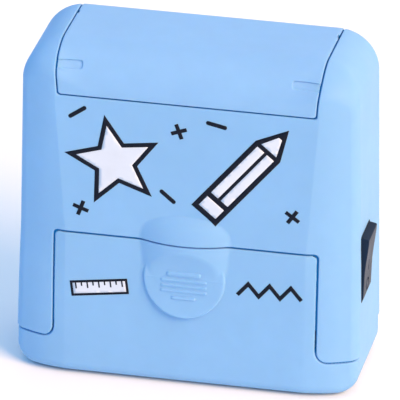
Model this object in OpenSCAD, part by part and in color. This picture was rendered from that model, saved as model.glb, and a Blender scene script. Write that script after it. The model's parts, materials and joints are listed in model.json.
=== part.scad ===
// Desktop pencil sharpener with a motor, a hinged lid, a pull-out shavings tray and a rocker switch.
// Millimetres. X to the right, Y to the back, Z up. The origin is on the table, under the middle of the case.

/* [Case] */
// Width of the case just above the base seam
case_w = 98.2; // [97.6:0.2:99.4]
// Height from the table to the top of the lid
case_h = 97.9; // [97.5:0.1:98.5]
// Distance from the middle of the case to the back
y_back = 21.1; // [20.8:0.1:21.4]
// Distance from the middle of the case to the upper front face
y_front = 18.2; // [18:0.1:18.3]
// Wall thickness of the case
wall = 2.2; // [1.8:0.1:2.3]
// Sideways draft of the case, in mm of half width for each mm of height
draft = 0.0146; // [0:0.0002:0.0150]
// How far the lower front leans forward, for each mm of height
lean_low = 0.0445; // [0.03:0.005:0.05]
// How far the upper front leans back, for each mm of height
lean_high = 0.0034; // [0:0.001:0.005]
// Angle of the bevel beside the flat front, in degrees
bevel_a = 25; // [20:1:28]
// Half width of the flat front at the base
bevel_x = 38.5; // [37.5:0.5:40]
// Radius of the top front edge
top_r = 12.7; // [12:0.1:13]
// Radius of the top side edges, seen from the front
side_r = 11.5; // [10:0.5:12]
// Radius of the top back edge, and of the hinge barrel in it
barrel_r = 5.1; // [4.9:0.1:5.1]

/* [Seams] */
// Height of the seam between the base tray and the case
base_seam = 11.0; // [10.8:0.1:11.2]
// Height of the top edge of the tray's front panel
panel_top = 43.1; // [42.5:0.1:44]
// Half width of the tray's front panel
panel_x = 37.09; // [36.9:0.01:37.2]
// Height of the lid's lower front edge
lid_low = 84.8; // [84.5:0.1:85.2]
// Half width of the lid
lid_x = 37.04; // [36.9:0.01:37.1]
// Width of the seams
gap = 0.35; // [0.3:0.05:0.4]

/* [Thumb grip] */
// Half width of the upright bulge
bulge_x = 12.5; // [12:0.1:13]
// Height of the middle of the bulge
bulge_z = 38; // [37.5:0.5:38.5]
// Radius of the thumb pad
pad_r = 11.5; // [11:0.1:12]
// Height of the middle of the thumb pad
pad_z = 31.6; // [31:0.1:32]

/* [Sharpener drive] */
// Sideways place of the pencil's axis
pencil_cx = -12; // [-12.5:0.1:-11.5]
// Radius of the hole that takes the pencil
pencil_r = 4.25; // [4:0.05:4.3]
// Gear module
mod_g = 0.6; // [0.6:0.001:0.602]
// Teeth on the cutter head's gear
z_head = 44; // [44:1:44]
// Teeth on the idler's small gear
z_small = 11; // [11:1:11]
// Teeth on the idler's large gear
z_large = 34; // [34:1:34]
// Teeth on the motor's pinion
z_pinion = 10; // [10:1:10]
// Pressure angle of the gears, in degrees
gear_pa = 25; // [24:1:26]
// Backlash along the pitch circle
backlash = 0.12; // [0.1:0.01:0.16]

/* [Switch] */
// Height of the rocker's pivot
rocker_z = 35.9; // [35.5:0.1:36.3]
// Front-to-back place of the rocker's middle
rocker_y = -4.7; // [-5:0.1:-4.5]
// Tilt of the rocker each way from the middle, in degrees
rocker_a = 6; // [5:0.5:6]

/* [Colours] */
// Colour of the case and tray
case_c = "#9cc6f6"; // ["#9cc6f6", "#f6b7b0", "#b5e0a8"]
// Colour of the lid
lid_c = "#a6ccf8"; // ["#a6ccf8", "#f8c3bd", "#c2e7b6"]
// Colour of the switch
switch_c = "#23262b"; // ["#23262b", "#4a4e55"]

/* [Hidden] */
$fn = 48;
e = 0.01;

foot = 0.6;                        // gap under the case
edge_r = 3.2;                      // bottom edges, front and back
foot_r = 5.6;                      // bottom edges, at the sides
feet_pts = [[35.5, -12], [35.5, 8]];
lean_z = 43.1;                     // where the front changes its lean
function y_at(z) = z < lean_z ? -y_front - lean_low*(lean_z - z) : -y_front + lean_high*(z - lean_z);
function half_w(z) = case_w/2 - 0.03 - draft*z;
corner_r = 4;                      // upright front corners
back_r = 6;                        // upright back corners
y_low = y_at(0);
top_cz = case_h - top_r;
top_cy = y_at(top_cz) + top_r;
corner_cx = case_w/2 - corner_r;
corner_cy = y_low + ((corner_cx - bevel_x)*sin(bevel_a) + corner_r)/cos(bevel_a);
hinge_y = y_back - barrel_r;
hinge_z = case_h - barrel_r;
lid_t = 2.0;
rear_y = 18.7;                     // inner face of the rear cover
rail_z0 = 15.6;                    // tray rails
rail_z1 = 17.6;

// gear train
cd1 = mod_g*(z_head + z_small)/2;
cd2 = mod_g*(z_large + z_pinion)/2;
idler_cx = pencil_cx + cd1;
motor_cx = idler_cx + cd2;
p1_z = 69.6;                       // motor plate
p2_z = 81.2;                       // gearbox cover
pt = 2.0;                          // plate thickness
ga_z0 = 72.0; ga_z1 = 76.4;        // lower gears
gb_z0 = 77.0; gb_z1 = 80.5;        // upper gears
posts = [[-27.5, -11.5], [-27.5, 11.5], [24.5, -11.5], [24.5, 11.5]];
deck_z = 85.0;
deck_pts = [[-35, -11], [-35, 11], [35, -11], [35, 11]];
cover_pts = [[-43.8, 26], [43.8, 26], [-43.8, 76], [43.8, 76]];

function arc(c, r, a0, a1, n) = [for (i = [0:n]) let (a = a0 + (a1 - a0)*i/n) [c[0] + r*cos(a), c[1] + r*sin(a)]];
function mir(v) = [for (i = [len(v) - 1:-1:0]) [-v[i][0], v[i][1]]];

// outlines of the case, inset by t, from above, from the side (y, z) and from the front (x, z)
function plan_half(t) = concat([[bevel_x - t*tan(bevel_a/2), y_low + t]],
  arc([corner_cx, corner_cy], corner_r - t, bevel_a - 90, 0, 6),
  arc([case_w/2 - back_r, y_back - back_r], back_r - t, 0, 90, 6));
function plan_pts(t) = concat(plan_half(t), mir(plan_half(t)));
function side_pts(t) = concat(
  arc([y_low + edge_r, foot + edge_r], edge_r - t, 270, 180, 5),
  [[y_at(lean_z) + t, lean_z]],
  arc([top_cy, top_cz], top_r - t, 180, 90, 9),
  arc([hinge_y, hinge_z], barrel_r - t, 90, 0, 6),
  arc([y_back - edge_r, foot + edge_r], edge_r - t, 0, -90, 5));
function face_half(t) = concat(
  arc([half_w(foot_r) - foot_r, foot + foot_r], foot_r - t, 270, 360, 8),
  arc([half_w(case_h - side_r) - side_r, case_h - side_r], side_r - t, 0, 90, 9));
function face_pts(t) = concat(face_half(t), mir(face_half(t)));

module along_x(w) { rotate([90, 0, 90]) linear_extrude(w, center = true) children(); }
module along_y(w) { rotate([90, 0, 0]) linear_extrude(w, center = true) children(); }
module envelope(t = 0) {
  intersection() {
    translate([0, 0, -2]) linear_extrude(case_h + 6) polygon(plan_pts(t));
    along_x(120) polygon(side_pts(t));
    along_y(90) polygon(face_pts(t));
  }
}
module block(x0, x1, y0, y1, z0, z1) { translate([x0, y0, z0]) cube([x1 - x0, y1 - y0, z1 - z0]); }
module rod_x(x0, x1, y, z, r) { translate([x0, y, z]) rotate([0, 90, 0]) cylinder(h = x1 - x0, r = r); }
module rod_y(x, y0, y1, z, r) { translate([x, y1, z]) rotate([90, 0, 0]) cylinder(h = y1 - y0, r = r); }
module rod_z(x, y, z0, z1, r) { translate([x, y, z0]) cylinder(h = z1 - z0, r = r); }
module both() { children(); mirror([1, 0, 0]) children(); }

// a pan-head screw with a cross recess, head up, its head's underside at z = 0
module screw(r, len, hr, hh) {
  difference() {
    union() { translate([0, 0, -len]) cylinder(h = len + e, r = r); cylinder(h = hh, r = hr); }
    translate([-hr*0.6, -hr*0.13, hh*0.4]) cube([hr*1.2, hr*0.26, hh]);
    translate([-hr*0.13, -hr*0.6, hh*0.4]) cube([hr*0.26, hr*1.2, hh]);
  }
}

// the upright pillow-shaped bulge on the front
bulge_y = -y_back;                                             // its foremost point
bulge_cr = (pow(bulge_x, 2) + pow(2.9, 2))/(2*2.9);            // its radius seen from above
module bulge() {
  intersection() {
    translate([0, bulge_y + bulge_cr, 0]) cylinder(h = 60, r = bulge_cr, $fn = 64);
    rod_x(-20, 20, bulge_y + 46, bulge_z, 46, $fn = 64);
    block(-20, 20, -30, -16.6, 20, 60);
  }
}

// the opening for the lid, and the room its barrel turns in
module lid_room() {
  block(-lid_x - 0.31, lid_x + 0.31, -30, 18, lid_low - 0.3, 110);
  block(-lid_x - 0.31, lid_x + 0.31, 10, 30, hinge_z - 1.7, 110);
  rod_x(-lid_x - 0.31, lid_x + 0.31, hinge_y, hinge_z, barrel_r + 0.35);
}

module upper_housing() {
  rib0 = lid_x + 0.31;
  color(case_c) difference() {
    union() {
      intersection() {
        difference() { envelope(0); envelope(wall); }
        block(-60, 60, -30, rear_y - 0.1, base_seam + gap, 110);
      }
      difference() {
        intersection() { bulge(); block(-20, 20, -30, 0, panel_top + gap, 60); }
        envelope(wall);
      }
      // walls and ledges of the bay under the lid, with the bosses that hold the hinge pins
      intersection() {
        envelope(0);
        both() union() {
          block(rib0, rib0 + 2, -30, rear_y - 0.1, 82.9, 110);
          block(33, rib0 + 1, -12.8, 15, 82.9, deck_z - 0.05);
          rod_x(rib0, 42.4, hinge_y, hinge_z, 3.2);
        }
        block(-60, 60, -30, rear_y - 0.1, 80, 110);
      }
      // rails that the tray runs on
      intersection() {
        envelope(0.6);
        both() block(36.0, 60, -16.4, 17.4, rail_z0, rail_z1);
      }
      // bosses for the rear cover's screws
      intersection() {
        envelope(0.6);
        for (p = cover_pts) rod_y(p[0], 8, rear_y - 0.1, p[1], 3.1);
      }
    }
    lid_room();
    // opening for the tray's front panel
    block(-panel_x - gap + 0.04, panel_x + gap - 0.04, -30, -12, 0, panel_top + gap);
    // opening for the switch
    block(40, 60, rocker_y - 5.7, rocker_y + 5.7, rocker_z - 10.5, rocker_z + 10.5);
    both() rod_x(lid_x, 41.6, hinge_y, hinge_z, 1.51);
    for (p = cover_pts) rod_y(p[0], 9.5, 30, p[1], 1.2);
    for (p = deck_pts) rod_z(p[0], p[1], 80, 90, 1.2);
  }
}

module rear_cover() {
  color(case_c) difference() {
    union() {
      intersection() { envelope(0); block(-60, 60, rear_y, 30, 0, 110); }
      // heel that carries the back of the case
      intersection() { envelope(0); block(-44.2, 44.2, 15, rear_y + 0.5, foot, base_seam - 0.4); }
      // seat for the interlock switch
      block(26, 33.5, 17.9, rear_y + 0.5, 11.6, 22.4);
    }
    lid_room();
    for (p = cover_pts) {
      rod_y(p[0], 10, 30, p[1], 1.5);
      rod_y(p[0], y_back - 1.1, 30, p[1], 2.9);
    }
    rod_y(-39, 18, 30, 35, 4.0);
    for (i = [0:5]) {
      block(8, 28, 18, 30, 46 + 4*i, 48 + 4*i);
      rod_y(8, 18, 30, 47 + 4*i, 1);
      rod_y(28, 18, 30, 47 + 4*i, 1);
    }
    both() rod_z(36, 17.4, -1, 2.0, 2.05);
  }
}

module rear_cover_screws() {
  color("silver") for (p = cover_pts) translate([p[0], y_back - 1.1, p[1]]) rotate([-90, 0, 0]) screw(1.19, 8.5, 2.6, 0.9);
}

module rear_feet() { color("#3a3d42") both() rod_z(36, 17.4, 0, 2.0, 2.0); }
module tray_feet() { color("#3a3d42") both() for (p = feet_pts) rod_z(p[0], p[1], 0, 1.8, 4); }

module top_deck() {
  color("#8fb9ea") difference() {
    union() {
      block(-lid_x, lid_x, -15.4, 15, deck_z, deck_z + 2);
      for (p = posts) rod_z(p[0], p[1], p2_z + pt, deck_z + 1, 3);
    }
    rod_z(pencil_cx, 0, 80, 90, 8.0);
    for (p = posts) rod_z(p[0], p[1], 80, deck_z + 1.4, 1.2);
    for (p = deck_pts) rod_z(p[0], p[1], 80, 90, 1.5);
  }
}
module deck_screws() {
  color("silver") for (p = deck_pts) translate([p[0], p[1], deck_z + 2]) screw(1.19, 3.8, 2.0, 1.1);
}

// collar that leads the pencil into the cutter head
module pencil_funnel() {
  color("#eef2f6") translate([pencil_cx, 0, 0]) rotate_extrude() polygon(concat(
    [[pencil_r, 84.0], [7.9, 84.0], [7.9, deck_z + 2], [11, deck_z + 2]],
    arc([10, 89], 1, 0, 90, 4),
    [[8.4, 90], [pencil_r, 87.8]]));
}

module plate(z) { block(-31, 29, -14.6, 14.6, z, z + pt); }
module motor_plate() {
  color("#c9ccd0") difference() {
    plate(p1_z);
    rod_z(pencil_cx, 0, 60, 90, 6.96);
    rod_z(motor_cx, 0, 60, 90, 3.1);
    rod_z(idler_cx, 0, 60, 90, 1.01);
    for (dx = [-6, 6]) rod_z(motor_cx + dx, 0, 60, 90, 1.05);
    for (p = posts) rod_z(p[0], p[1], 60, 90, 1.35);
  }
}
module gearbox_cover() {
  color("#c9ccd0") difference() {
    plate(p2_z);
    rod_z(pencil_cx, 0, 60, 90, 5.36);
    rod_z(idler_cx, 0, 60, 90, 1.01);
    for (p = posts) rod_z(p[0], p[1], 60, 90, 1.35);
  }
}
module gearbox_spacers() {
  color("#b8bcc2") for (p = posts) difference() {
    rod_z(p[0], p[1], p1_z + pt, p2_z, 2.5);
    rod_z(p[0], p[1], 60, 90, 1.35);
  }
}
module gearbox_screws() {
  color("silver") for (p = posts) translate([p[0], p[1], p1_z]) rotate([180, 0, 0]) screw(1.19, 16.2, 2.2, 1.3);
}

// flat-sided motor
module can_2d(t) { intersection() { circle(r = 10.05 - t); square([40, 15.1 - 2*t], center = true); } }
module motor_can() {
  color("silver") translate([motor_cx, 0, 0]) difference() {
    union() {
      translate([0, 0, 46.5]) linear_extrude(p1_z - 46.5) can_2d(0);
      rod_z(0, 0, p1_z - 1, 71.3, 3.0);
    }
    translate([0, 0, 46]) linear_extrude(p1_z - 46.8) can_2d(0.8);
    rod_z(0, 0, 60, 75, 1.06);
    for (dx = [-6, 6]) rod_z(dx, 0, 60, 75, 0.8);
  }
}
module motor_end_cap() {
  color("#f1f1ee") translate([motor_cx, 0, 0]) difference() {
    union() {
      translate([0, 0, 44]) linear_extrude(2.5) can_2d(0);
      translate([0, 0, 46.4]) linear_extrude(2.1) can_2d(0.85);
      block(-7.6, -6.9, -1.4, 1.4, 41.5, 44.2);
      block(6.9, 7.6, -1.4, 1.4, 41.5, 44.2);
    }
    rod_z(0, 0, 46.5, 50, 3.3);
    rod_z(0, 0, 40, 50, 1.06);
  }
}
module motor_magnets() {
  color("#55585e") translate([motor_cx, 0, 50]) difference() {
    linear_extrude(15) can_2d(0.85);
    translate([0, 0, -1]) cylinder(h = 20, r = 6.6);
    block(-4.2, 4.2, -20, 20, -1, 20);
  }
}
module motor_screws() {
  color("silver") for (dx = [-6, 6]) translate([motor_cx + dx, 0, p1_z + pt]) screw(0.79, 2.7, 1.7, 1.0);
}
module idler_shaft() { color("silver") rod_z(idler_cx, 0, p1_z, p2_z + pt, 1.0); }

// rocker switch
module switch_body() {
  color(switch_c) difference() {
    union() {
      block(31.5, 48.6, rocker_y - 5.6, rocker_y + 5.6, rocker_z - 10.4, rocker_z + 10.4);
      block(48.72, 49.1, rocker_y - 6.1, rocker_y + 6.1, rocker_z - 10.9, rocker_z + 10.9);
      block(48.5, 48.8, rocker_y - 5.6, rocker_y + 5.6, rocker_z - 10.4, rocker_z + 10.4);
    }
    block(38.5, 60, rocker_y - 5.2, rocker_y + 5.2, rocker_z - 9.9, rocker_z + 9.9);
    rod_y(46.5, rocker_y - 5.5, rocker_y + 5.5, rocker_z, 0.76);
  }
}
module switch_terminals() {
  color("#c9a25a") for (dz = [-5, 5]) block(26, 31.5, rocker_y - 2.4, rocker_y + 2.4, rocker_z + dz - 0.4, rocker_z + dz + 0.4);
}
module rocker_pin() { color("silver") rod_y(46.5, rocker_y - 5.4, rocker_y + 5.4, rocker_z, 0.75); }
module switch_rocker() {
  color(switch_c) translate([46.5, rocker_y, rocker_z]) rotate([0, rocker_a, 0]) difference() {
    along_y(9.9) polygon([[2.76, 9.4], [2.1, 6.6], [1.75, 3.4], [1.65, 0], [1.75, -3.4], [2.1, -6.6], [2.76, -9.4],
      [-1.0, -8.9], [-3.2, -4], [-5.5, -2.5], [-5.5, 2.5], [-3.2, 4], [-1.0, 8.9]]);
    rod_y(0, -6, 6, 0, 0.8);
  }
}

module lid_hinge_pins() { color("silver") both() rod_x(34.2, 41.5, hinge_y, hinge_z, 1.5); }

module lid_flap() {
  color(lid_c) difference() {
    union() {
      along_x(2*lid_x) polygon(concat(
        [[y_at(top_cz), lid_low]],
        arc([top_cy, top_cz], top_r, 180, 90, 12),
        arc([hinge_y, hinge_z], barrel_r, 90, -32, 10),
        arc([hinge_y, hinge_z], barrel_r - lid_t, -32, 90, 8),
        arc([top_cy, top_cz], top_r - lid_t, 90, 180, 10),
        [[y_at(top_cz) + lid_t, lid_low]]));
      both() rod_x(34.9, 36.9, hinge_y, hinge_z, barrel_r - 0.1);
    }
    both() rod_x(34, 38, hinge_y, hinge_z, 1.55);
  }
}

// base pan, front panel with the thumb grip, and runners, in one moulding
module tray_base() {
  color(case_c) difference() {
    union() {
      difference() {
        intersection() { envelope(0.35); block(-60, 60, -30, 18.35, 0, base_seam); }
        intersection() { envelope(0.35 + wall); block(-60, 60, -30, 12.5, 2.6, 20); }
        block(-44.6, 44.6, 14.65, 30, -1, 20);
      }
      intersection() {
        difference() { envelope(0); envelope(wall); }
        block(-panel_x, panel_x, -30, -12, 7, panel_top);
      }
      difference() {
        intersection() { bulge(); block(-20, 20, -30, 0, 20, panel_top); }
        envelope(wall);
      }
      // thumb pad, tilted to face up
      difference() {
        translate([0, y_at(pad_z), pad_z]) rotate([90 - 7, 0, 0]) translate([0, 0, -1]) cylinder(h = 1.9, r = pad_r);
        envelope(wall);
      }
      both() {
        block(34.3, 35.5, -13, 12.4, 2.2, 19.4);
        block(34.3, 35.5, 12.3, 17.4, 11.3, 19.4);
        block(35.4, 37.0, -12.5, 17.4, 13.9, rail_z0 - 0.3);
        block(35.4, 37.0, -12.5, 17.4, rail_z1 + 0.3, 19.4);
      }
      // post that holds the interlock switch closed
      block(28, 32, 8.4, 9.8, 2.2, 19);
    }
    both() for (p = feet_pts) rod_z(p[0], p[1], -1, 1.8, 4.05);
  }
}

module shavings_bin() {
  color("#dfe9f4") difference() {
    block(-33.8, 25, -15.8, 12.2, 3.25, 40);
    block(-32.6, 23.8, -14.6, 11, 4.45, 50);
  }
}

// cutter head: journal, gear seat and neck in one turned piece, with a conical bore and a flat for the blade
cone_z0 = 50.5;                    // bottom and top of the conical bore
cone_z1 = 68.5;
cone_r0 = 0.9;
cone_r1 = 4.3;
cone_a = atan((cone_r1 - cone_r0)/(cone_z1 - cone_z0));
module on_flat() { translate([pencil_cx, cone_r0 - 0.25, cone_z0]) rotate([-cone_a, 0, 0]) children(); }
module cutter_head() {
  color("#b98f4e") difference() {
    translate([pencil_cx, 0, 0]) rotate_extrude($fn = 64) polygon([[cone_r0, 47.5], [10.2, 47.5], [11, 48.3], [11, 68.6],
      [6.9, 68.6], [6.9, ga_z0], [6.0, ga_z0], [6.0, ga_z1], [5.3, ga_z1], [5.3, 83.4], [cone_r1, 83.4],
      [cone_r1, cone_z1], [cone_r0, cone_z0]]);
    on_flat() translate([-20, 0, -8]) cube([40, 30, 23.6]);
    on_flat() translate([5.4, -5, 8.4]) rotate([-90, 0, 0]) cylinder(h = 10, r = 0.9);
  }
}
module blade() {
  color("#d5d8dc") on_flat() difference() {
    translate([0.4, 0.02, -1]) cube([9.0, 0.7, 16.3]);
    translate([5.4, -5, 8.4]) rotate([-90, 0, 0]) cylinder(h = 10, r = 1.1);
  }
}
module blade_screw() { color("silver") on_flat() translate([5.4, 0.74, 8.4]) rotate([-90, 0, 0]) screw(0.89, 4.4, 1.9, 1.2); }

// involute gear outline: points at radius r lie at half-tooth angle th(r) on each side of the tooth's middle
function inv(a) = tan(a)*180/PI - a;
function th(r, rp, z) = let (rb = rp*cos(gear_pa), h = 90/z - backlash/4/rp*180/PI + inv(gear_pa)) r <= rb ? h : h - inv(acos(rb/r));
function gear_pts(z, a0) = let (rp = mod_g*z/2, rb = rp*cos(gear_pa), ra = rp + 0.8*mod_g, rf = rp - 1.05*mod_g,
    rs = max(rb, rf), n = 4, rr = concat(rf < rb ? [rf] : [], [for (i = [0:n]) rs + (ra - rs)*i/n]), m = len(rr))
  [for (k = [0:z - 1]) for (i = [0:2*m - 1]) let (a = a0 + 360*k/z, j = i < m ? i : 2*m - 1 - i, s = i < m ? -1 : 1,
      r = rr[j], t = a + s*th(r, rp, z)) [r*cos(t), r*sin(t)]];
module gear(z, a0, z0, z1) { translate([0, 0, z0]) linear_extrude(z1 - z0) polygon(gear_pts(z, a0)); }

module head_gear() {
  color("#f0f0ec") translate([pencil_cx, 0, 0]) difference() {
    gear(z_head, 0, ga_z0, ga_z1);
    rod_z(0, 0, 70, 80, 6.0);
    difference() { rod_z(0, 0, ga_z1 - 1.2, 80, 11.2); rod_z(0, 0, 70, 80, 7.6); }
  }
}
module idler_gear() {
  color("#f0f0ec") translate([idler_cx, 0, 0]) difference() {
    union() {
      gear(z_small, 180 + 180/z_small, ga_z0 + 0.2, gb_z0 + 0.2);
      gear(z_large, 0, gb_z0, gb_z1 - 0.1);
      rod_z(0, 0, gb_z0, gb_z1 + 0.4, 2.6);
    }
    rod_z(0, 0, 70, 90, 1.05);
  }
}
module motor_pinion() {
  color("#c9a25a") translate([motor_cx, 0, 0]) difference() {
    gear(z_pinion, 180 + 180/z_pinion, gb_z0 - 0.6, gb_z1 + 0.1);
    rod_z(0, 0, 70, 90, 1.0);
  }
}
module motor_armature() {
  color("#8d4a2c") translate([motor_cx, 0, 0]) union() {
    rod_z(0, 0, 43.4, gb_z1 + 0.4, 1.0);
    rod_z(0, 0, 46.9, 50.6, 2.4);
    difference() {
      rod_z(0, 0, 51, 64, 6.2);
      for (a = [30, 150, 270]) rotate([0, 0, a]) block(3.6, 8, -0.9, 0.9, 50, 65);
    }
    rod_z(0, 0, 64, 66.5, 4.2);
  }
}

// interlock switch behind the tray
module interlock_switch() {
  color(switch_c) difference() {
    union() { block(26.5, 33, 11.5, 17.85, 12, 22); block(27.4, 28.2, 17.0, 17.85, 22, 24.5); block(31.3, 32.1, 17.0, 17.85, 22, 24.5); }
    rod_y(30, 11, 14.6, 17, 0.86);
  }
}
module interlock_plunger() { color("#d94b3a") rod_y(30, 9.92, 13.6, 17, 0.8); }

// round inlet for the power lead
module dc_jack() {
  color(switch_c) difference() {
    union() { block(-43.4, -34.6, 8.5, rear_y - 0.1, 30.5, 39.5); rod_y(-39, 15, 20.8, 35, 3.9); }
    rod_y(-39, 10, 30, 35, 2.9);
  }
}
module dc_jack_pin() { color("silver") rod_y(-39, 10, 19.6, 35, 1.0); }

upper_housing();
rear_cover();
rear_cover_screws();
rear_feet();
top_deck();
deck_screws();
pencil_funnel();
motor_plate();
gearbox_cover();
gearbox_spacers();
gearbox_screws();
motor_can();
motor_end_cap();
motor_magnets();
motor_screws();
idler_shaft();
switch_body();
switch_terminals();
rocker_pin();
lid_hinge_pins();
interlock_switch();
dc_jack();
dc_jack_pin();
lid_flap();
tray_base();
shavings_bin();
tray_feet();
switch_rocker();
cutter_head();
head_gear();
blade();
blade_screw();
idler_gear();
motor_armature();
motor_pinion();
interlock_plunger();
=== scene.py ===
import bpy, json, math
import numpy as np
from mathutils import Matrix, Vector
from mathutils.geometry import delaunay_2d_cdt


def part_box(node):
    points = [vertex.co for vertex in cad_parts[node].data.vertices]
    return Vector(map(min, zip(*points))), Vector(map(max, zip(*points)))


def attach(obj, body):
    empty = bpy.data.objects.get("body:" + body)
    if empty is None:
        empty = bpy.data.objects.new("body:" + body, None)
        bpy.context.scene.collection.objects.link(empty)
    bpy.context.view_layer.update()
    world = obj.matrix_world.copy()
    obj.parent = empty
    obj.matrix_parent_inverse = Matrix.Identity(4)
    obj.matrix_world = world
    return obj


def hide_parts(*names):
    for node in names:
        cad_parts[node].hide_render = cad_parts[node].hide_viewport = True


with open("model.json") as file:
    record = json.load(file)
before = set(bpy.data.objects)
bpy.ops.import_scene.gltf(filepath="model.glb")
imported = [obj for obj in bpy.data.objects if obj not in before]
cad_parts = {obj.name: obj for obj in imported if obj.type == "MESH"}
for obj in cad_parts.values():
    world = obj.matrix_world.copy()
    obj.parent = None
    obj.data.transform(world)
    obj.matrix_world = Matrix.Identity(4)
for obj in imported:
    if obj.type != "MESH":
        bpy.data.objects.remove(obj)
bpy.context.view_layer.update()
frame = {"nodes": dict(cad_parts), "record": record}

MM = 0.001


def box_of(pair):
    return [[float(v) for v in pair[0]], [float(v) for v in pair[1]]]


# ------------------------------------------------------------------ camera
TH, EL, ROLL, F, S = 0.2055, 0.4475, 0.0093, 7773.6, 3.6
C0 = np.array([0.0, 3.2, 47.0])
r_ = np.array([math.cos(TH), math.sin(TH), 0.0])
f_ = np.array([-math.sin(TH) * math.cos(EL), math.cos(TH) * math.cos(EL), -math.sin(EL)])
u_ = np.cross(r_, f_)
R_ = math.cos(ROLL) * r_ + math.sin(ROLL) * u_
U_ = -math.sin(ROLL) * r_ + math.cos(ROLL) * u_
aim = C0 - R_ * (1.27 / S) - U_ * (1.48 / S)
eye = aim - f_ * (F / S)
cam_data = bpy.data.cameras.new("camera")
cam_data.sensor_width = 36.0
cam_data.lens = 36.0 * F / 400.0
cam_data.clip_start = 0.1
cam_data.clip_end = 50.0
cam = bpy.data.objects.new("camera", cam_data)
bpy.context.scene.collection.objects.link(cam)
m = Matrix.Identity(4)
for i in range(3):
    m[i][0], m[i][1], m[i][2], m[i][3] = R_[i], U_[i], -f_[i], eye[i] * MM
cam.matrix_world = m
bpy.context.scene.camera = cam

# ------------------------------------------------------------------ signed distances, in mm


def ln(a, b):
    return np.sqrt(a * a + b * b)


def ri(a, b, r):
    """both, with a rounded edge"""
    return np.minimum(np.maximum(a, b), -r) + ln(np.maximum(a + r, 0), np.maximum(b + r, 0))


def ru(a, b, r):
    """either, with a filleted corner between them"""
    return np.maximum(np.minimum(a, b), r) - ln(np.maximum(r - a, 0), np.maximum(r - b, 0))


def mx(*a):
    o = a[0]
    for b in a[1:]:
        o = np.maximum(o, b)
    return o


def mn(*a):
    o = a[0]
    for b in a[1:]:
        o = np.minimum(o, b)
    return o


def ss(t):
    t = np.clip(t, 0, 1)
    return t * t * (3 - 2 * t)


def bx(v, lo, hi):
    return np.maximum(lo - v, v - hi)


def hw(z):
    return 48.87 - 0.0187 * z


TX = np.arange(0, 60, 0.05)
A_LOW = np.interp(TX, [0, 31, 33, 36, 39, 41, 43, 45, 47, 60], [0, 0, 2, 4.5, 10, 14.5, 20.5, 24.5, 26, 26.5])
A_UP = np.interp(TX, [0, 33.5, 38, 40, 42, 44.5, 50, 60], [12.3, 12.3, 14, 18, 22, 25, 25.5, 25.5])
R_LOW = np.cumsum(np.tan(np.radians(A_LOW))) * 0.05
R_UP = np.cumsum(np.tan(np.radians(A_UP))) * 0.05


def crease(z):
    return 33.5 + (np.clip(z, 43, 84) - 43) * 3.1 / 41


def y_flat(z):
    return -18.2 - 0.0445 * np.maximum(43.1 - z, 0) + 0.0034 * np.maximum(z - 43.1, 0)


def y_front(x, z):
    ax = np.abs(x)
    t = 0.4 + 0.6 * ss((z - 25) / 18)
    s = np.interp(ax, TX, R_UP) - np.interp(crease(z) + 0.4, TX, R_UP)
    up = 0.5 * (s + np.sqrt(s * s + 0.0036))
    return y_flat(z) + (1 - t) * np.interp(ax, TX, R_LOW) + t * up


BOT_R = 5.6
# top edge of the tray's base, and the housing's lower edge above it
PT, PH = 10.5, 10.87


def env(x, y, z, inset=0.0, bot=0.6):
    """the case's outer surface, without its bulge"""
    ax = np.abs(x)
    side = ax - (hw(z) - inset)
    top = z - (97.75 - 0.027 * (y + 6))
    base = bot - z
    d = ri(ri(side, top, 11.5), base, BOT_R)
    wt = ss((top - side) / 23.0 + 0.5)
    wb = ss((base - side) / (2 * BOT_R) + 0.5)
    rb = 6.0 + 0.6 * wt - 2.8 * wb
    d = ri(d, y - 21.1, rb)
    ang = np.interp(ax, [0, 36, 44, 60], [1, 0.985, 0.91, 0.9])
    rf = 2.3 + 10.4 * wt * (1 - wb) + 0.9 * wb
    return ri(d, (y_front(x, z) - y) * ang, rf)


def bulge(x, y, z):
    up = np.maximum(z - 43.0, 0) / 8.4
    dn = np.maximum(36.0 - z, 0)
    face = -21.05 + x * x / 56.0 + 2.85 * up ** 3.4 + dn * dn / 60.0
    return mx((face - y) * 0.9, bx(z, 24, 54), np.abs(x) - 13.2, y + 16.9)


PAD = (0.0, 32.8)


def pad_face(z):
    """the thumb pad's dished face: sunk under the bulge at its top, standing proud at its lower rim"""
    return np.where(z > 34.0, -19.45 - 0.034 * (z - 34.0) ** 2, -19.45 - 0.0095 * (34.0 - z) ** 2)


def nose(x, y, z, d):
    """adds the bulge, and on the tray the thumb pad, to the case's surface d"""
    d = ru(d, bulge(x, y, z), 0.2)
    rho = ln(x - PAD[0], z - PAD[1])
    rim = rho - 11.5
    solid = np.where(z > 33.0, -19.45 + 0.13 * (z - 33.0), pad_face(z))
    disc = ri(rim, solid - y, 0.6)
    disc = mx(disc, y + 16.9)
    cut = mx(rim + 0.35, y - pad_face(z))
    d = ri(d, -cut, 0.3)
    d = ru(d, disc, 0.15)
    # a raised bar and, below it, short ribs to grip
    bar = ri(ri(bx(x, -4.7, 4.7), bx(z, 33.7, 34.9), 0.5), mx(pad_face(z) - 0.5 - y, y + 18), 0.35)
    d = ru(d, bar, 0.25)
    for zc, half in ((32.35, 6.4), (30.8, 6.4), (29.25, 6.4), (27.2, 3.3)):
        rib = ri(ri(bx(x, -half, half), bx(z, zc - 0.36, zc + 0.36), 0.34), mx(pad_face(z) - 0.38 - y, y + 18), 0.2)
        d = ru(d, rib, 0.22)
    return d


def x_open(z):
    """half width of the openings: straight beside the tray's panel, narrowing up the front to the lid, wider over the top"""
    return np.where(z < 43.45, 37.40, np.where(z < 84.5, 37.40 - 0.97 * (z - 43.45) / 41.05, 36.43 + 0.74 * ss((z - 84.5) / 11.0)))


def rod(a, b, r):
    return ln(a, b) - r


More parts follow.
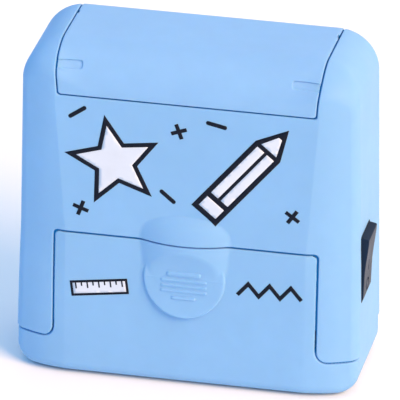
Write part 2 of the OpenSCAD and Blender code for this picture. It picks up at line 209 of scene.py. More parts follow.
def f_housing(x, y, z):
    e = env(x, y, z)
    outer = ru(e, bulge(x, y, z), 0.25)
    inner = -(e + 2.2)
    d = np.maximum(outer, inner)
    d = ri(d, PH - z, 0.35)
    d = ri(d, y - 18.6, 0.3)
    q = ri(np.abs(x) - x_open(z), z - 43.45, 1.5)
    p1 = ru(q, z - PH, 3.2)
    d = ri(d, -np.maximum(p1, y + 8), 0.4)
    p2 = ri(np.abs(x) - x_open(z), 84.5 - z, 0.9)
    d = ri(d, -p2, 0.4)
    # the rebate that the panel and the lid close on, behind their edges
    deep = np.where(z < 60.0, e + 0.8, e + 1.05)
    reach = np.where(z < 20.2, 0.36, 0.85)  # shorter where the tray's runners pass
    flange = mx(deep, -(e + 2.2), -reach - np.maximum(p1, y + 8), -0.85 - p2, y - 10)
    d = np.minimum(d, mx(flange, 15.0 - z))
    ax = np.abs(x)
    inside = e + 1.0
    rib = mx(inside, 37.35 - ax, ax - 39.35, 82.9 - z, y - 18.6)
    rib = mx(rib, -rod(y - 16, z - 92.8, 1.5))
    ledge = mx(inside, bx(ax, 33, 38.35), bx(z, 82.9, 84.95), bx(y, -12.8, 15))
    boss = mx(rod(y - 16, z - 92.8, 3.2), bx(ax, 37.4, 42.4), -rod(y - 16, z - 92.8, 1.5), y - 18.6, inside)
    rail = mx(inside, 36 - ax, bx(z, 15.6, 17.6), bx(y, -16.4, 17.4))
    post = mn(rod(ax - 43.8, z - 26, 3.1), rod(ax - 43.8, z - 76, 3.1))
    post = mx(post, bx(y, 8, 18.6), e + 0.5, -mn(rod(ax - 43.8, z - 26, 1.2), rod(ax - 43.8, z - 76, 1.2)))
    d = mn(d, rib, ledge, boss, rail, post)
    hole = ri(bx(y, RY - 6.26, RY + 6.26), bx(z, 26.5, 46.8), 0.5)
    return mx(d, -np.maximum(hole, 38 - x))


def f_cover(x, y, z):
    e = env(x, y, z)
    ax = np.abs(x)
    d = ri(e, 18.7 - y, 0.3)
    heel = mx(e, ax - 44.2, 15.0 - y, z - PT + 0.4)
    d = ru(d, heel, 0.4)
    note = ri(ax - 37.35, 91.1 - z, 0.8)
    d = ri(d, -mn(note, np.maximum(rod(y - 16, z - 92.8, 5.45), ax - 37.35)), 0.3)
    for i in range(6):
        zc = 46.0 + 4 * i
        slot = ln(np.maximum(bx(x, 9.0, 27.0), 0), z - zc) - 1.0
        d = ri(d, -slot, 0.3)
    d = ri(d, -rod(x + 39, z - 35, 4.0), 0.3)
    for zc in (26.0, 76.0):
        d = ri(d, -mx(rod(ax - 43.8, z - zc, 2.9), 20.0 - y), 0.25)
        d = mx(d, -rod(ax - 43.8, z - zc, 1.4))
    # a shallow line round the cover's face, and the seat of the interlock switch
    inner = ri(ax - (hw(z) - 7.2), bx(z, 13.5, 88.0), 5.0)
    d = ri(d, -mx(np.abs(inner) - 0.45, 20.7 - y), 0.2)
    seat = mx(bx(x, 26.0, 33.5), bx(z, 11.6, 22.4), bx(y, 16.6, 18.9))
    return np.minimum(d, seat)


def f_tray(x, y, z):
    ax = np.abs(x)
    inset = 0.35 * ss((ax - 38) / 4)
    e = env(x, y, z, 0.35)
    outer = nose(x, y, z, e)
    d = np.maximum(outer, -(e + 2.2))
    flr = mx(e, z - 3.15)
    d = np.minimum(d, flr)
    edge = ru(z - PT, ri(ax - 36.97, z - 43.05, 1.5), 3.6)
    q = np.minimum(z - PT, np.maximum(edge, y + 12))
    q = ri(q, y - 18.35, 0.3)
    step = mx(e + 0.45, -1.35 - ri(ax - 36.97, z - 43.05, 1.5), y + 12, 14.0 - z)
    d = mx(d, -step)
    q = mx(q, -mx(ax - 44.6, 14.65 - y))
    d = ri(d, q, 0.4)
    # the wall across the rear notch, the runners with their lips, the post that works the interlock, and foot recesses
    wall = mx(e + 0.3, bx(y, 12.45, 14.65), ax - 46.8, z - PT)
    run = mx(bx(ax, 34.3, 35.5), bx(z, 3.0, 19.4), bx(y, -17.5, 14.6))
    lip = mx(bx(ax, 34.3, 36.85), mn(bx(z, 13.9, 15.3), bx(z, 17.9, 19.4)), bx(y, -16.5, 14.6))
    post = mx(bx(x, 28, 32), bx(y, 8.4, 9.8), bx(z, 3.0, 19.0))
    d = mn(d, wall, run, lip, post)
    # a low tongue that closes the gap under the housing's lower edge from behind
    d = np.minimum(d, mx(mx(e + 0.8, -(e + 2.2)), np.abs(edge) - 0.27, z - 15.0, y - 11.8))
    foot = mn(ln(ax - FOOT_X, y + 12.0), ln(ax - FOOT_X, y - 8)) - 4.15
    return ri(d, -mx(foot, z - 1.25), 0.2)


FOOT_X = 35.5


def f_lid(x, y, z):
    ax = np.abs(x)
    e = env(x, y, z)
    d = np.maximum(e, -(e + 2.0))
    cyl = ln(y - 16, z - 92.8)
    below = -(math.sin(math.radians(32)) * (y - 16) + math.cos(math.radians(32)) * (z - 92.8))
    ring = mx(cyl - 5.1, e, 2.5 - cyl, 16 - y, below)
    sheet = mx(d, y - 16)
    d = np.minimum(sheet, ring)
    wide = x_open(z) - 0.37
    edge = ri(ax - wide, 84.86 - z, 0.9)
    d = mx(d, -mx(e + 0.72, -1.35 - edge, y - 10.6))
    d = ri(d, edge, 0.4)
    tick = mx(bx(y, 9.3, 11.4), 36.35 - ax)
    d = ri(d, -tick, 0.15)
    # a shallow pocket at each end of the front, open at the lid's edge
    for lo, hi in ((-39.0, -29.7), (28.9, 39.0)):
        cut = ri(ri(bx(x, lo, hi), bx(z, 92.05, 93.95), 0.7), -(e + 0.4), 0.15)
        d = ri(d, -mx(cut, y + 4), 0.18)
    ear = mx(cyl - 5.0, e + 0.3, bx(ax, 34.9, 36.75))
    return mx(np.minimum(d, ear), -mx(rod(y - 16, z - 92.8, 1.55), 34 - ax))


RK = box_of(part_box("switch_rocker"))
RX = RK[1][0] * 1000.0 - 0.02
RY, RZ = -4.7, 35.9


def f_rocker(x, y, z):
    face = np.interp(z, [25.5, 28.2, 32.2, 35.5, 38.5, 41.5, 44.0, 46.5], [48.72, 48.78, 48.9, 49.05, 49.35, 49.75, 50.05, 50.2]) - (50.2 - RX)
    top = z - (RZ + 10.44 - 0.2 * (x - 48.0))
    botm = (27.2 + 0.2 * (x - 48.2)) - z
    d = ri((x - face) * 0.96, top, 0.4)
    d = ri(d, botm, 0.5)
    d = ri(d, bx(y, RY - 5.85, RY + 5.85), 0.32)
    d = mx(d, 43.2 - x, 46.5 - x + (np.abs(z - RZ) - 9.2) * 0.55 + 0.3)
    d = mx(d, -(ln(x - 46.5, z - RZ) - 0.8))
    mark = mn(np.abs(ln(y - RY, z - 30.0) - 1.55) - 0.24, mx(np.abs(z - 35.8) - 1.5, np.abs(y - RY) - 0.24))
    return ri(d, -mx(mark, face - 0.22 - x), 0.08)


def f_bezel(x, y, z):
    """the switch's thin rim, set nearly flush in the case, its well and its body"""
    out = ri(bx(y, RY - 6.2, RY + 6.2), bx(z, 26.56, 46.74), 0.45)
    d = ri(mx(out, 31.5 - x), x - (hw(z) + 0.02), 0.08)
    well = ri(bx(y, RY - 6.0, RY + 6.0), bx(z, 26.85, 46.6), 0.3)
    return ri(d, -mx(well, 38.5 - x), 0.08)


# ------------------------------------------------------------------ meshing: surface nets on an uneven grid


def lines(lo, hi, coarse, feats):
    out = [lo]
    t = lo
    while t < hi:
        h = coarse
        for p, w, fine in feats:
            h = min(h, fine + 0.22 * max(0.0, abs(t - p) - w))
        h2 = coarse
        for p, w, fine in feats:
            h2 = min(h2, fine + 0.22 * max(0.0, abs(t + h - p) - w))
        t += min(h, max(h2, 0.5 * h))
        out.append(t)
    return np.array(out)


def mirror(a):
    return np.concatenate([-a[::-1], a[1:]])


def nets(fn, xs, ys, zs, steps=5):
    nx, ny, nz = len(xs), len(ys), len(zs)
    X, Y, Z = np.meshgrid(xs, ys, zs, indexing="ij")
    V = fn(X, Y, Z)
    ins = V < 0
    acc = np.zeros((nx - 1, ny - 1, nz - 1, 3))
    cnt = np.zeros((nx - 1, ny - 1, nz - 1))
    G = (xs, ys, zs)
    quads = []
    cross = []
    for ax in range(3):
        a = [slice(None)] * 3
        b = [slice(None)] * 3
        a[ax] = slice(0, -1)
        b[ax] = slice(1, None)
        va, vb = V[tuple(a)], V[tuple(b)]
        ia, ib = ins[tuple(a)], ins[tuple(b)]
        idx = np.argwhere(ia != ib)
        I = tuple(idx.T)
        t = va[I] / (va[I] - vb[I])
        P = np.stack([G[k][idx[:, k]] for k in range(3)], 1)
        P[:, ax] += t * (G[ax][idx[:, ax] + 1] - G[ax][idx[:, ax]])
        o1, o2 = [k for k in range(3) if k != ax]
        for d1 in (0, -1):
            for d2 in (0, -1):
                c = idx.copy()
                c[:, o1] += d1
                c[:, o2] += d2
                ok = (c >= 0).all(1) & (c[:, 0] < nx - 1) & (c[:, 1] < ny - 1) & (c[:, 2] < nz - 1)
                cc = tuple(c[ok].T)
                np.add.at(acc, cc, P[ok])
                np.add.at(cnt, cc, 1)
        cross.append((ax, o1, o2, idx, ia[I]))
    act = cnt > 0
    ids = -np.ones(act.shape, int)
    ids[act] = np.arange(act.sum())
    cells = np.argwhere(act)
    P = acc[act] / cnt[act][:, None]
    lo = np.stack([G[k][cells[:, k]] for k in range(3)], 1)
    hi = np.stack([G[k][cells[:, k] + 1] for k in range(3)], 1)
    for ax, o1, o2, idx, first in cross:
        ok = (idx[:, o1] > 0) & (idx[:, o2] > 0) & (idx[:, o1] < G[o1].size - 1) & (idx[:, o2] < G[o2].size - 1)
        idx, fi = idx[ok], first[ok]
        q = []
        for d1, d2 in ((-1, -1), (0, -1), (0, 0), (-1, 0)):
            c = idx.copy()
            c[:, o1] += d1
            c[:, o2] += d2
            q.append(ids[tuple(c.T)])
        q = np.stack(q, 1)
        flip = fi if ax != 1 else ~fi
        q = np.where(flip[:, None], q, q[:, ::-1])
        quads.append(q)
    quads = np.concatenate(quads)
    for _ in range(steps):
        v, g = grad(fn, P)
        g2 = (g * g).sum(1)
        P = P - g * (v / np.maximum(g2, 0.05))[:, None] * 0.9
        P = np.clip(P, lo - 0.02, hi + 0.02)
    P[:, 1] = np.minimum(P[:, 1], 21.1)
    _, g = grad(fn, P)
    n = g / np.maximum(np.sqrt((g * g).sum(1)), 1e-6)[:, None]
    return P, n, quads


def grad(fn, P, h=0.012):
    x, y, z = P[:, 0], P[:, 1], P[:, 2]
    v = fn(x, y, z)
    g = np.stack([fn(x + h, y, z) - fn(x - h, y, z), fn(x, y + h, z) - fn(x, y - h, z), fn(x, y, z + h) - fn(x, y, z - h)], 1) / (2 * h)
    return v, g


def mesh_object(name, P, faces, normals=None, mats=()):
    me = bpy.data.meshes.new(name)
    me.from_pydata((P * MM).tolist(), [], faces.tolist() if hasattr(faces, "tolist") else faces)
    me.update()
    me.polygons.foreach_set("use_smooth", [True] * len(me.polygons))
    if normals is not None:
        me.normals_split_custom_set_from_vertices(normals.tolist())
    for mt in mats:
        me.materials.append(mt)
    ob = bpy.data.objects.new(name, me)
    bpy.context.scene.collection.objects.link(ob)
    return ob


def painted_shade_faces(P, q, inset):
    """the outward faces at the bottom of the narrow gaps between the case, the panel, the lid and the rear cover, which
    get a painted shade: a darker, deeper blue standing in for the shade inside the seams
    """
    a = P[q]
    c = a.mean(1)
    fn_ = np.cross(a[:, 2] - a[:, 0], a[:, 3] - a[:, 1])
    x, y, z = c.T
    ax = np.abs(x)
    e, g = grad(lambda x, y, z: env(x, y, z, inset * ss((np.abs(x) - 38) / 4)), c)
    out = (fn_ * g).sum(1) > 0.6 * np.sqrt((fn_ * fn_).sum(1) * (g * g).sum(1))
    p1 = np.where(y < -8, ru(ri(ax - 37.2, z - 43.25, 1.5), z - (PT + PH) / 2, 3.4), z - (PT + PH) / 2)
    p2 = ri(ax - (x_open(z) - 0.2), 84.7 - z, 0.9)
    near = mn(np.abs(p1), np.abs(p2), np.abs(y - 18.65) + 0.55)
    return (out | (z > 14.0)) & (e > -1.9) & (e < -0.45) & (near < 0.45)


def build(name, fn, xs, ys, zs, mat, body, node, seam_shade_mat=None):
    P, n, q = nets(fn, xs, ys, zs)
    ob = mesh_object(name, P, q, n, [mat])
    # faces deep in the seams get the painted seam shade material
    if seam_shade_mat is not None:
        ob.data.materials.append(seam_shade_mat)
        ob.data.polygons.foreach_set("material_index", painted_shade_faces(P, q, 0.35 if body == "tray" else 0.0).astype(int).tolist())
    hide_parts(node)
    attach(ob, body)
    print("PIECE", name, len(P), "vertices", len(q), "faces", [round(float(v), 2) for v in P.min(0)], [round(float(v), 2) for v in P.max(0)])
    return ob


# ------------------------------------------------------------------ materials


class Nodes:
    def __init__(self, name):
        self.mat = bpy.data.materials.new(name)
        self.mat.use_nodes = True
        self.t = self.mat.node_tree
        self.b = self.t.nodes["Principled BSDF"]
        self.co = self.t.nodes.new("ShaderNodeTexCoord").outputs["Object"]

    def node(self, kind, **kw):
        n = self.t.nodes.new(kind)
        for k, v in kw.items():
            setattr(n, k, v)
        return n

    def link(self, a, b):
        self.t.links.new(a, b)

    def noise(self, scale, detail=3.0, rough=0.55, stretch=None):
        n = self.node("ShaderNodeTexNoise")
        n.inputs["Scale"].default_value = scale
        n.inputs["Detail"].default_value = detail
        n.inputs["Roughness"].default_value = rough
        src = self.co
        if stretch:
            mp = self.node("ShaderNodeMapping")
            mp.inputs["Scale"].default_value = stretch
            self.link(self.co, mp.inputs["Vector"])
            src = mp.outputs["Vector"]
        self.link(src, n.inputs["Vector"])
        return n.outputs["Fac"]

    def ramp(self, fac, a, b, lo=0.3, hi=0.7):
        n = self.node("ShaderNodeMapRange")
        n.inputs["From Min"].default_value = lo
        n.inputs["From Max"].default_value = hi
        n.inputs["To Min"].default_value = a
        n.inputs["To Max"].default_value = b
        self.link(fac, n.inputs["Value"])
        return n.outputs["Result"]

    def mix(self, fac, a, b):
        n = self.node("ShaderNodeMix", data_type="RGBA")
        for s, v in (("A", a), ("B", b)):
            sock = [i for i in n.inputs if i.name == s and i.type == "RGBA"][0]
            if isinstance(v, (tuple, list)):
                sock.default_value = (*v, 1.0)
            else:
                self.link(v, sock)
        f = [i for i in n.inputs if i.name == "Factor" and i.type == "VALUE"][0]
        if isinstance(fac, (int, float)):
            f.default_value = fac
        else:
            self.link(fac, f)
        return [o for o in n.outputs if o.type == "RGBA"][0]

    def bump(self, height, strength, dist, chain=None):
        n = self.node("ShaderNodeBump")
        n.inputs["Strength"].default_value = strength
        n.inputs["Distance"].default_value = dist
        self.link(height, n.inputs["Height"])
        if chain is not None:
            self.link(chain, n.inputs["Normal"])
        return n.outputs["Normal"]


def lin(c):
    return tuple(((v / 255.0) / 12.92 if v <= 10 else ((v / 255.0 + 0.055) / 1.055) ** 2.4) for v in c)


def scaled(c, k):
    return tuple(min(1.0, v * k) for v in c)


def plastic(name, base, rough=0.42, var=0.03, grain=0.25, ior=1.46, sub=0.0, coat=0.0, fine=9000.0, spec=0.5):
    """moulded plastic: spark-eroded grain, slight colour drift, handling marks in the gloss"""
    m = Nodes(name)
    drift = m.noise(38.0, 3.0)
    cloud = m.noise(210.0, 4.0)
    c1 = m.mix(m.ramp(drift, 0.0, 1.0), scaled(base, 1 - var), scaled(base, 1 + var))
    c2 = m.mix(m.ramp(cloud, 0.0, 0.35), c1, scaled(base, 1 - 2.2 * var))
    m.link(c2, m.b.inputs["Base Color"])
    smear = m.noise(120.0, 5.0, 0.6, (1.0, 1.0, 0.35))
    m.link(m.ramp(smear, rough - 0.05, rough + 0.06), m.b.inputs["Roughness"])
    g = m.noise(fine, 2.0)
    w = m.noise(55.0, 2.0)
    n1 = m.bump(w, 0.12, 0.00012)
    m.link(m.bump(g, grain, 0.00004, n1), m.b.inputs["Normal"])
    m.b.inputs["IOR"].default_value = ior
    m.b.inputs["Specular IOR Level"].default_value = spec
    if sub:
        m.b.inputs["Subsurface Weight"].default_value = sub
        m.b.inputs["Subsurface Radius"].default_value = (0.25, 0.55, 1.0)
        m.b.inputs["Subsurface Scale"].default_value = 0.0012
    if coat:
        m.b.inputs["Coat Weight"].default_value = coat
        m.b.inputs["Coat Roughness"].default_value = 0.25
    return m.mat


def metal(name, base, rough=0.3, stretch=(1.0, 1.0, 14.0), scale=900.0, var=0.12):
    """drawn or plated metal: fine lines along the working direction, uneven sheen"""
    m = Nodes(name)
    streak = m.noise(scale, 4.0, 0.6, stretch)
    cloud = m.noise(160.0, 4.0)
    c = m.mix(m.ramp(streak, 0.0, 1.0), scaled(base, 1 - var), scaled(base, 1 + 0.4 * var))
    c = m.mix(m.ramp(cloud, 0.0, 0.4), c, scaled(base, 0.8))
    m.link(c, m.b.inputs["Base Color"])
    m.link(m.ramp(streak, rough - 0.07, rough + 0.12), m.b.inputs["Roughness"])
    m.link(m.bump(streak, 0.25, 0.00003), m.b.inputs["Normal"])
    m.b.inputs["Metallic"].default_value = 1.0
    return m.mat


mats = {
    "case_plastic": plastic("case_plastic", (0.232, 0.474, 0.785), 0.58, ior=1.36, sub=0.35, spec=0.35),
    "lid_plastic": plastic("lid_plastic", (0.245, 0.482, 0.795), 0.56, ior=1.36, sub=0.35, spec=0.35),
    "deck_plastic": plastic("deck_plastic", (0.22, 0.44, 0.80), 0.46),
    "bin_plastic": plastic("bin_plastic", (0.66, 0.76, 0.88), 0.34, 0.02, 0.15, sub=0.1),
    "white_plastic": plastic("white_plastic", (0.80, 0.81, 0.79), 0.38, 0.02, 0.12, sub=0.15),
    "black_plastic": plastic("black_plastic", (0.010, 0.0145, 0.028), 0.42, 0.12, 0.2, ior=1.42, spec=0.28),
    "red_plastic": plastic("red_plastic", (0.55, 0.05, 0.035), 0.36, 0.05, 0.2),
    "plated_steel": metal("plated_steel", (0.62, 0.63, 0.65), 0.24),
    "sheet_steel": metal("sheet_steel", (0.55, 0.56, 0.58), 0.36, (14.0, 1.0, 1.0), 700.0, 0.16),
    "brass": metal("brass", (0.72, 0.52, 0.22), 0.26),
    "magnet": plastic("magnet", (0.10, 0.10, 0.11), 0.6, 0.15, 0.6, fine=4000.0),
    "winding": metal("winding", (0.50, 0.22, 0.10), 0.34, (1.0, 1.0, 60.0), 2600.0, 0.35),
    "rubber_foot": plastic("rubber_foot", (0.045, 0.045, 0.05), 0.7, 0.12, 0.5, fine=5000.0),
}
# painted shade: a darker, more saturated blue for the faces deep in the narrow gaps, standing in for the shade that
# falls inside the seams
painted_seam_shade_mat = plastic("painted_seam_shade", (0.012, 0.25, 0.64), 0.6, 0.05, 0.2, spec=0.1)
slot_of = {s["node"]: s.get("material_slot") for s in frame["record"].get("subparts", [])}
for node, ob in frame["nodes"].items():
    ob.data.materials.clear()
    ob.data.materials.append(mats[slot_of.get(node, "case_plastic")])

# ------------------------------------------------------------------ shells
xh = mirror(lines(0.0, 49.3, 1.3, [(12.6, 0.5, 0.22), (6, 6, 0.6), (36.9, 0.7, 0.13), (38.8, 1.2, 0.35), (49, 1.4, 0.26), (44, 3.0, 0.75)]))
yh = lines(-22.0, 21.6, 1.25, [(-18.5, 3.5, 0.22), (-12, 2.0, 0.5), (-11.1, 0.3, 0.15), (1.7, 0.3, 0.15), (18.65, 0.45, 0.11), (15.5, 1.5, 0.5)])
zh = lines(10.3, 98.3, 1.25, [(11.0, 0.4, 0.1), (13.0, 1.8, 0.25), (17.6, 0.2, 0.25), (26.45, 0.4, 0.15), (47.0, 0.4, 0.15), (43.3, 0.5, 0.11), (48, 4.5, 0.3), (84.3, 0.6, 0.11), (92, 5.5, 0.6), (97.2, 0.8, 0.25)])
case = mats["case_plastic"]
build("shell_housing", f_housing, xh, yh, zh, case, "housing", "upper_housing", painted_seam_shade_mat)

xc = mirror(lines(0.0, 49.3, 1.25, [(37.3, 0.4, 0.13), (44, 3.0, 0.28), (48.9, 1.0, 0.25), (18, 10.5, 0.4), (39, 4.5, 0.3)]))
yc = lines(14.6, 21.3, 0.6, [(18.7, 0.3, 0.12), (20.8, 0.4, 0.11), (15.1, 0.2, 0.15)])
zc = lines(0.2, 98.2, 1.25, [(0.8, 0.6, 0.25), (10.2, 0.5, 0.2), (26, 3.2, 0.28), (76, 3.2, 0.28), (35, 5.0, 0.3), (56, 11.6, 0.3), (91.2, 0.5, 0.15), (97, 1.0, 0.25), (13.5, 0.6, 0.3), (88, 0.6, 0.3)])
build("shell_rear_cover", f_cover, xc, yc, zc, case, "housing", "rear_cover", painted_seam_shade_mat)

xt = mirror(lines(0.0, 49.3, 1.25, [(12.0, 1.0, 0.25), (6, 6, 0.32), (37.0, 0.5, 0.13), (38.8, 1.6, 0.3), (35.5, 1.5, 0.35), (46, 2.5, 0.3), (43, 1.2, 0.6)]))
yt = lines(-21.8, 18.8, 1.25, [(-20.0, 1.6, 0.2), (-16.5, 1.5, 0.35), (14.6, 0.3, 0.25), (18.3, 0.3, 0.12), (9.1, 0.8, 0.35)])
zt = lines(0.2, 43.6, 1.2, [(0.9, 0.5, 0.25), (3.1, 0.3, 0.25), (10.5, 0.5, 0.1), (13.2, 2.2, 0.25), (18.6, 0.8, 0.3), (30.8, 5.0, 0.15), (32, 12.5, 0.26), (42.9, 0.4, 0.1)])
build("shell_tray", f_tray, xt, yt, zt, case, "tray", "tray_base", painted_seam_shade_mat)

xl = mirror(lines(0.0, 37.6, 1.25, [(36.7, 0.6, 0.12), (32.5, 3.6, 0.3)]))
yl = lines(-19.0, 21.5, 0.8, [(-16.8, 2.2, 0.2), (-12, 4.0, 0.3), (9.3, 0.2, 0.12), (11.4, 0.2, 0.12), (18.5, 2.6, 0.28)])
zl = lines(84.3, 98.3, 0.8, [(85, 0.4, 0.1), (93.0, 1.3, 0.16), (95.4, 3.0, 0.22), (89.8, 0.5, 0.25)])
build("shell_lid", f_lid, xl, yl, zl, mats["lid_plastic"], "lid", "lid_flap", painted_seam_shade_mat)

xr = lines(42.8, 50.6, 0.35, [(49.6, 1.0, 0.14)])
yr = lines(RY - 6.4, RY + 6.4, 0.5, [(RY - 5.75, 0.3, 0.1), (RY + 5.75, 0.3, 0.1), (RY, 2.0, 0.12)])
zr = lines(RZ - 10.5, RZ + 11.2, 0.4, [(RZ + 10.3, 0.6, 0.12), (27.3, 0.5, 0.12), (30.0, 2.0, 0.14), (35.8, 1.7, 0.2)])
rocker_mat = plastic("rocker_plastic", (0.012, 0.026, 0.056), 0.3, 0.1, 0.2, ior=1.25, spec=0.1)
build("shell_rocker", f_rocker, xr, yr, zr, rocker_mat, "rocker", "switch_rocker")
xb = lines(31.0, 49.6, 1.0, [(48.3, 0.7, 0.1)])
yb = lines(RY - 6.8, RY + 6.8, 0.6, [(RY - 6.18, 0.4, 0.08), (RY + 6.18, 0.4, 0.08)])
zb = lines(26.0, 47.4, 0.8, [(46.8, 0.5, 0.08), (26.7, 0.5, 0.08)])
build("shell_bezel", f_bezel, xb, yb, zb, mats["black_plastic"], "housing", "switch_body")

# ------------------------------------------------------------------ printed marks, as thin films that follow the surface


def ink(name, base, rough=0.5):
    return plastic(name, base, rough, 0.06, 0.25, spec=0.2)


navy = ink("ink_navy", lin((8, 18, 36)), 0.6)
pale = ink("ink_pale", lin((208, 221, 238)), 0.5)


def outer_h(x, y, z):
    return ru(env(x, y, z), bulge(x, y, z), 0.25)


def outer_t(x, y, z):
    return nose(x, y, z, env(x, y, z, 0.35))


def film(name, loops, fn, body, mat, slot, lift=0.05, sink=0.12, cell=0.9):
    """one printed film from closed outlines in the front view; even-odd holes"""
    pts, edges = [], []
    for lp in loops:
        lp = np.array(lp, float)
        dense = []
        for a, b in zip(lp, np.roll(lp, -1, 0)):
            k = max(1, int(math.ceil(np.hypot(*(b - a)) / cell)))
            dense += [a + (b - a) * t / k for t in range(k)]
        s = len(pts)
        pts += dense
        edges += [(s + i, s + (i + 1) % len(dense)) for i in range(len(dense))]
    P = np.array(pts)
    E = np.array(edges)

    def within(q):
        a, b = P[E[:, 0]], P[E[:, 1]]
        c = (a[:, 1][None] > q[:, 1][:, None]) != (b[:, 1][None] > q[:, 1][:, None])
        with np.errstate(divide="ignore", invalid="ignore"):
            xx = a[:, 0] + (q[:, 1][:, None] - a[:, 1]) / (b[:, 1] - a[:, 1]) * (b[:, 0] - a[:, 0])
        return ((c & (q[:, 0][:, None] < xx)).sum(1) % 2) == 1

    gx, gz = np.meshgrid(np.arange(P[:, 0].min() + 0.3, P[:, 0].max(), cell), np.arange(P[:, 1].min() + 0.3, P[:, 1].max(), cell))
    g = np.stack([gx.ravel(), gz.ravel()], 1)
    g = g[within(g)]
    if len(g):
        dist = np.min(np.hypot(g[:, None, 0] - P[None, :, 0], g[:, None, 1] - P[None, :, 1]), 1)
        g = g[dist > 0.45 * cell]
    allp = np.concatenate([P, g]) if len(g) else P
    vs, _, fs, _, _, _ = delaunay_2d_cdt([Vector(p) for p in allp], edges, [], 0, 1e-5)
    V2 = np.array([tuple(v) for v in vs])
    T = np.array([list(f) for f in fs if len(f) == 3])
    T = T[within(V2[T].mean(1))]
    used = np.unique(T)
    remap = -np.ones(len(V2), int)
    remap[used] = np.arange(len(used))
    V2, T = V2[used], remap[T]
    a = V2[T]
    area = (a[:, 1, 0] - a[:, 0, 0]) * (a[:, 2, 1] - a[:, 0, 1]) - (a[:, 1, 1] - a[:, 0, 1]) * (a[:, 2, 0] - a[:, 0, 0])
    T = np.where((area > 0)[:, None], T, T[:, ::-1])
    x, z = V2[:, 0], V2[:, 1]
    lo, hi = np.full(len(x), -24.0), np.full(len(x), -13.0)
    for _ in range(40):
        mid = (lo + hi) / 2
        ins = fn(x, mid, z) < 0
        hi = np.where(ins, mid, hi)
        lo = np.where(ins, lo, mid)
    y = (lo + hi) / 2
    _, nrm = grad(fn, np.stack([x, y, z], 1))
    n = len(x)
    up = np.stack([x, y - lift, z], 1)
    dn = np.stack([x, y + sink, z], 1)
    # seen from the front, x right and z up, counter-clockwise is outward
    cnt = {}
    for t in T:
        for i in range(3):
            cnt[(t[i], t[(i + 1) % 3])] = 1
    rim = [e for e in cnt if (e[1], e[0]) not in cnt]
    faces = [tuple(int(v) for v in t) for t in T] + [tuple(int(v) + n for v in t[::-1]) for t in T]
    faces += [(int(b), int(a_), int(a_) + n, int(b) + n) for a_, b in rim]
    ob = mesh_object(name, np.concatenate([up, dn]), faces, None, [mat])
    nn = np.concatenate([nrm, -nrm])
    ob.data.polygons.foreach_set("use_smooth", [True] * (2 * len(T)) + [False] * len(rim))
    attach(ob, body)
    return ob


def turned(pts, ang, cx, cz, k=1.0):
    c, s = math.cos(math.radians(ang)), math.sin(math.radians(ang))
    return [(cx + k * (c * x - s * z), cz + k * (s * x + c * z)) for x, z in pts]


def star(n, ro, rin, ph=90.0):
    return [((ro if i % 2 == 0 else rin) * math.cos(math.radians(ph + 180.0 * i / n)), (ro if i % 2 == 0 else rin) * math.sin(math.radians(ph + 180.0 * i / n))) for i in range(2 * n)]


def bar(x0, x1, z0, z1):
    return [(x0, z0), (x1, z0), (x1, z1), (x0, z1)]


def capsule(half, r, n=10):
    return [(half + r * math.cos(t), r * math.sin(t)) for t in np.linspace(-math.pi / 2, math.pi / 2, n)] + [(-half - r * math.cos(t), -r * math.sin(t)) for t in np.linspace(-math.pi / 2, math.pi / 2, n)]


def zig(pts, w):
    pts = np.array(pts, float)
    up, dn = [], []
    for i, p in enumerate(pts):
        a = pts[max(i - 1, 0)]
        b = pts[min(i + 1, len(pts) - 1)]
        d1 = (p - a) if i else (b - p)
        d2 = (b - p) if i < len(pts) - 1 else (p - a)
        d1, d2 = d1 / np.hypot(*d1), d2 / np.hypot(*d2)
        n1 = np.array([-d1[1], d1[0]])
        n2 = np.array([-d2[1], d2[0]])
        n = (n1 + n2)
        n = n / max(np.dot(n, n1), 0.4)
        up.append(tuple(p + n * w / 2))
        dn.append(tuple(p - n * w / 2))
    return up + dn[::-1]


H = dict(fn=outer_h, body="housing")
T_ = dict(fn=outer_t, body="tray")
NAVY = dict(mat=navy, slot="black_plastic")
PALE = dict(mat=pale, slot="white_plastic")
# a five-point star at the left, outlined
film("print_star_edge", [turned(star(5, 14.2, 6.4), 12, -20.0, 66.0), turned(star(5, 10.9, 4.95), 12, -20.0, 66.0)], **H, **NAVY)
film("print_star_fill", [turned(star(5, 10.9, 4.95), 12, -20.0, 66.0)], **H, **PALE)
# a pencil leaning at the right
A, CX, CZ = 50.0, 16.5, 66.0
K = 1.22


def pen(p):
    return turned(p, A, CX, CZ, K)


film("print_pencil_edge", [pen([(-14.5, -3.7), (8.2, -3.7), (15.6, 0), (8.2, 3.7), (-14.5, 3.7)]),
                           pen([(-13.2, -2.5), (-10.2, -2.5), (-10.2, 2.5), (-13.2, 2.5)]),
                           pen([(-8.9, -2.5), (7.4, -2.5), (7.4, 2.5), (-8.9, 2.5)]),
                           pen([(8.5, -2.25), (12.6, -0.45), (12.6, 0.45), (8.5, 2.25)])], **H, **NAVY)
film("print_pencil_body_a", [pen([(-8.9, -2.5), (7.4, -2.5), (7.4, -0.4), (-8.9, -0.4)])], **H, **PALE)
film("print_pencil_body_b", [pen([(-8.9, 0.4), (7.4, 0.4), (7.4, 2.5), (-8.9, 2.5)])], **H, **PALE)
film("print_pencil_line", [pen([(-8.9, -0.4), (7.4, -0.4), (7.4, 0.4), (-8.9, 0.4)])], **H, **NAVY)
film("print_pencil_tip", [pen([(8.5, -2.25), (12.6, -0.45), (12.6, 0.45), (8.5, 2.25)])], **H, **PALE)
film("print_pencil_rubber", [pen([(-13.2, -2.5), (-10.2, -2.5), (-10.2, 2.5), (-13.2, 2.5)])], **H, **PALE)
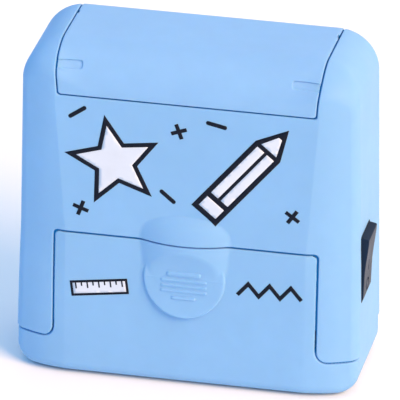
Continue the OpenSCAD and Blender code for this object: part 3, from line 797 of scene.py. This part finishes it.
# small marks round them
for i, (px, pz, a) in enumerate(((-2.0, 77.0, 20), (-29.5, 51.0, 70), (30.0, 54.5, -35))):
    plus = [(-2.3, -0.55), (-0.55, -0.55), (-0.55, -2.3), (0.55, -2.3), (0.55, -0.55), (2.3, -0.55), (2.3, 0.55), (0.55, 0.55), (0.55, 2.3), (-0.55, 2.3), (-0.55, 0.55), (-2.3, 0.55)]
    film("print_plus_%d" % i, [turned(plus, a, px, pz)], **H, **NAVY)
for i, (px, pz, a, h) in enumerate(((-30.5, 80.0, 35, 2.4), (-5.0, 57.0, -40, 2.2), (8.5, 80.0, -12, 2.4))):
    film("print_dash_%d" % i, [turned(capsule(h, 0.6), a, px, pz)], **H, **NAVY)
# a zigzag low on the panel at the right and a short ruler at the left
film("print_zigzag", [zig([(15.0, 29.5), (18.0, 33.0), (21.0, 29.5), (24.0, 33.0), (27.0, 29.5), (30.0, 33.0), (33.0, 29.5)], 1.1)], **T_, **NAVY)
film("print_ruler", [turned(bar(-8.2, 8.2, -2.3, 2.3), 8, -24.0, 27.5), turned(bar(-7.5, 7.5, -1.6, 1.6), 8, -24.0, 27.5)], **T_, **NAVY)
film("print_ruler_fill", [turned(bar(-7.5, 7.5, -1.6, 1.6), 8, -24.0, 27.5)], **T_, **PALE)
for i in range(9):
    h = 1.7 if i % 2 == 0 else 1.0
    film("print_tick_%d" % i, [turned(bar(-6.6 + 1.65 * i - 0.2, -6.6 + 1.65 * i + 0.2, 1.6 - h, 1.6), 8, -24.0, 27.5)], lift=0.09, **T_, **NAVY)

# ------------------------------------------------------------------ floor, light


def floor_mat():
    m = Nodes("floor")
    n = m.noise(3.0, 3.0)
    m.link(m.mix(m.ramp(n, 0.0, 1.0), (0.92, 0.93, 0.93), (0.94, 0.95, 0.95)), m.b.inputs["Base Color"])
    m.b.inputs["Roughness"].default_value = 0.75
    return m.mat


fv, ff = [], []
prof = [(-3.0, 0.0)] + [(2.2 + 1.5 * math.sin(t), 1.5 - 1.5 * math.cos(t)) for t in np.linspace(0, math.pi / 2, 16)] + [(3.7, 6.0)]
for y, z in prof:
    fv += [(-5.0, y, z - 0.00002), (5.0, y, z - 0.00002)]
ff = [(2 * i, 2 * i + 1, 2 * i + 3, 2 * i + 2) for i in range(len(prof) - 1)]
fm = bpy.data.meshes.new("floor")
fm.from_pydata(fv, [], ff)
fm.polygons.foreach_set("use_smooth", [True] * len(ff))
fm.materials.append(floor_mat())
floor = bpy.data.objects.new("floor", fm)
bpy.context.scene.collection.objects.link(floor)

world = bpy.data.worlds.new("studio")
bpy.context.scene.world = world
world.use_nodes = True
bg = world.node_tree.nodes["Background"]
bg.inputs["Color"].default_value = (0.25, 0.56, 0.90, 1.0)
bg.inputs["Strength"].default_value = 1.0


def lamp(name, loc, size, power, color=(1, 1, 1), aim=(0, 0, 0.05)):
    ld = bpy.data.lights.new(name, "AREA")
    ld.shape = "RECTANGLE"
    ld.size, ld.size_y = size
    ld.energy = power
    ld.color = color
    lo = bpy.data.objects.new(name, ld)
    bpy.context.scene.collection.objects.link(lo)
    d = Vector(aim) - Vector(loc)
    lo.matrix_world = Matrix.Translation(loc) @ d.to_track_quat("-Z", "Y").to_matrix().to_4x4()
    return lo


lamp("key", (2.80, -1.83, 2.25), (2.25, 2.25), 234.0, (1.0, 0.60, 0.29))
lamp("top", (0.0, 0.05, 1.3), (1.0, 1.0), 3.8, (1.0, 0.58, 0.34))
lamp("back", (0.25, 1.1, 0.6), (1.0, 0.8), 1.6, (1.0, 0.75, 0.55))
sc = bpy.context.scene
sc.view_settings.view_transform = "Standard"
sc.view_settings.look = "None"
sc.view_settings.exposure = 0.0
sc.view_settings.gamma = 1.0
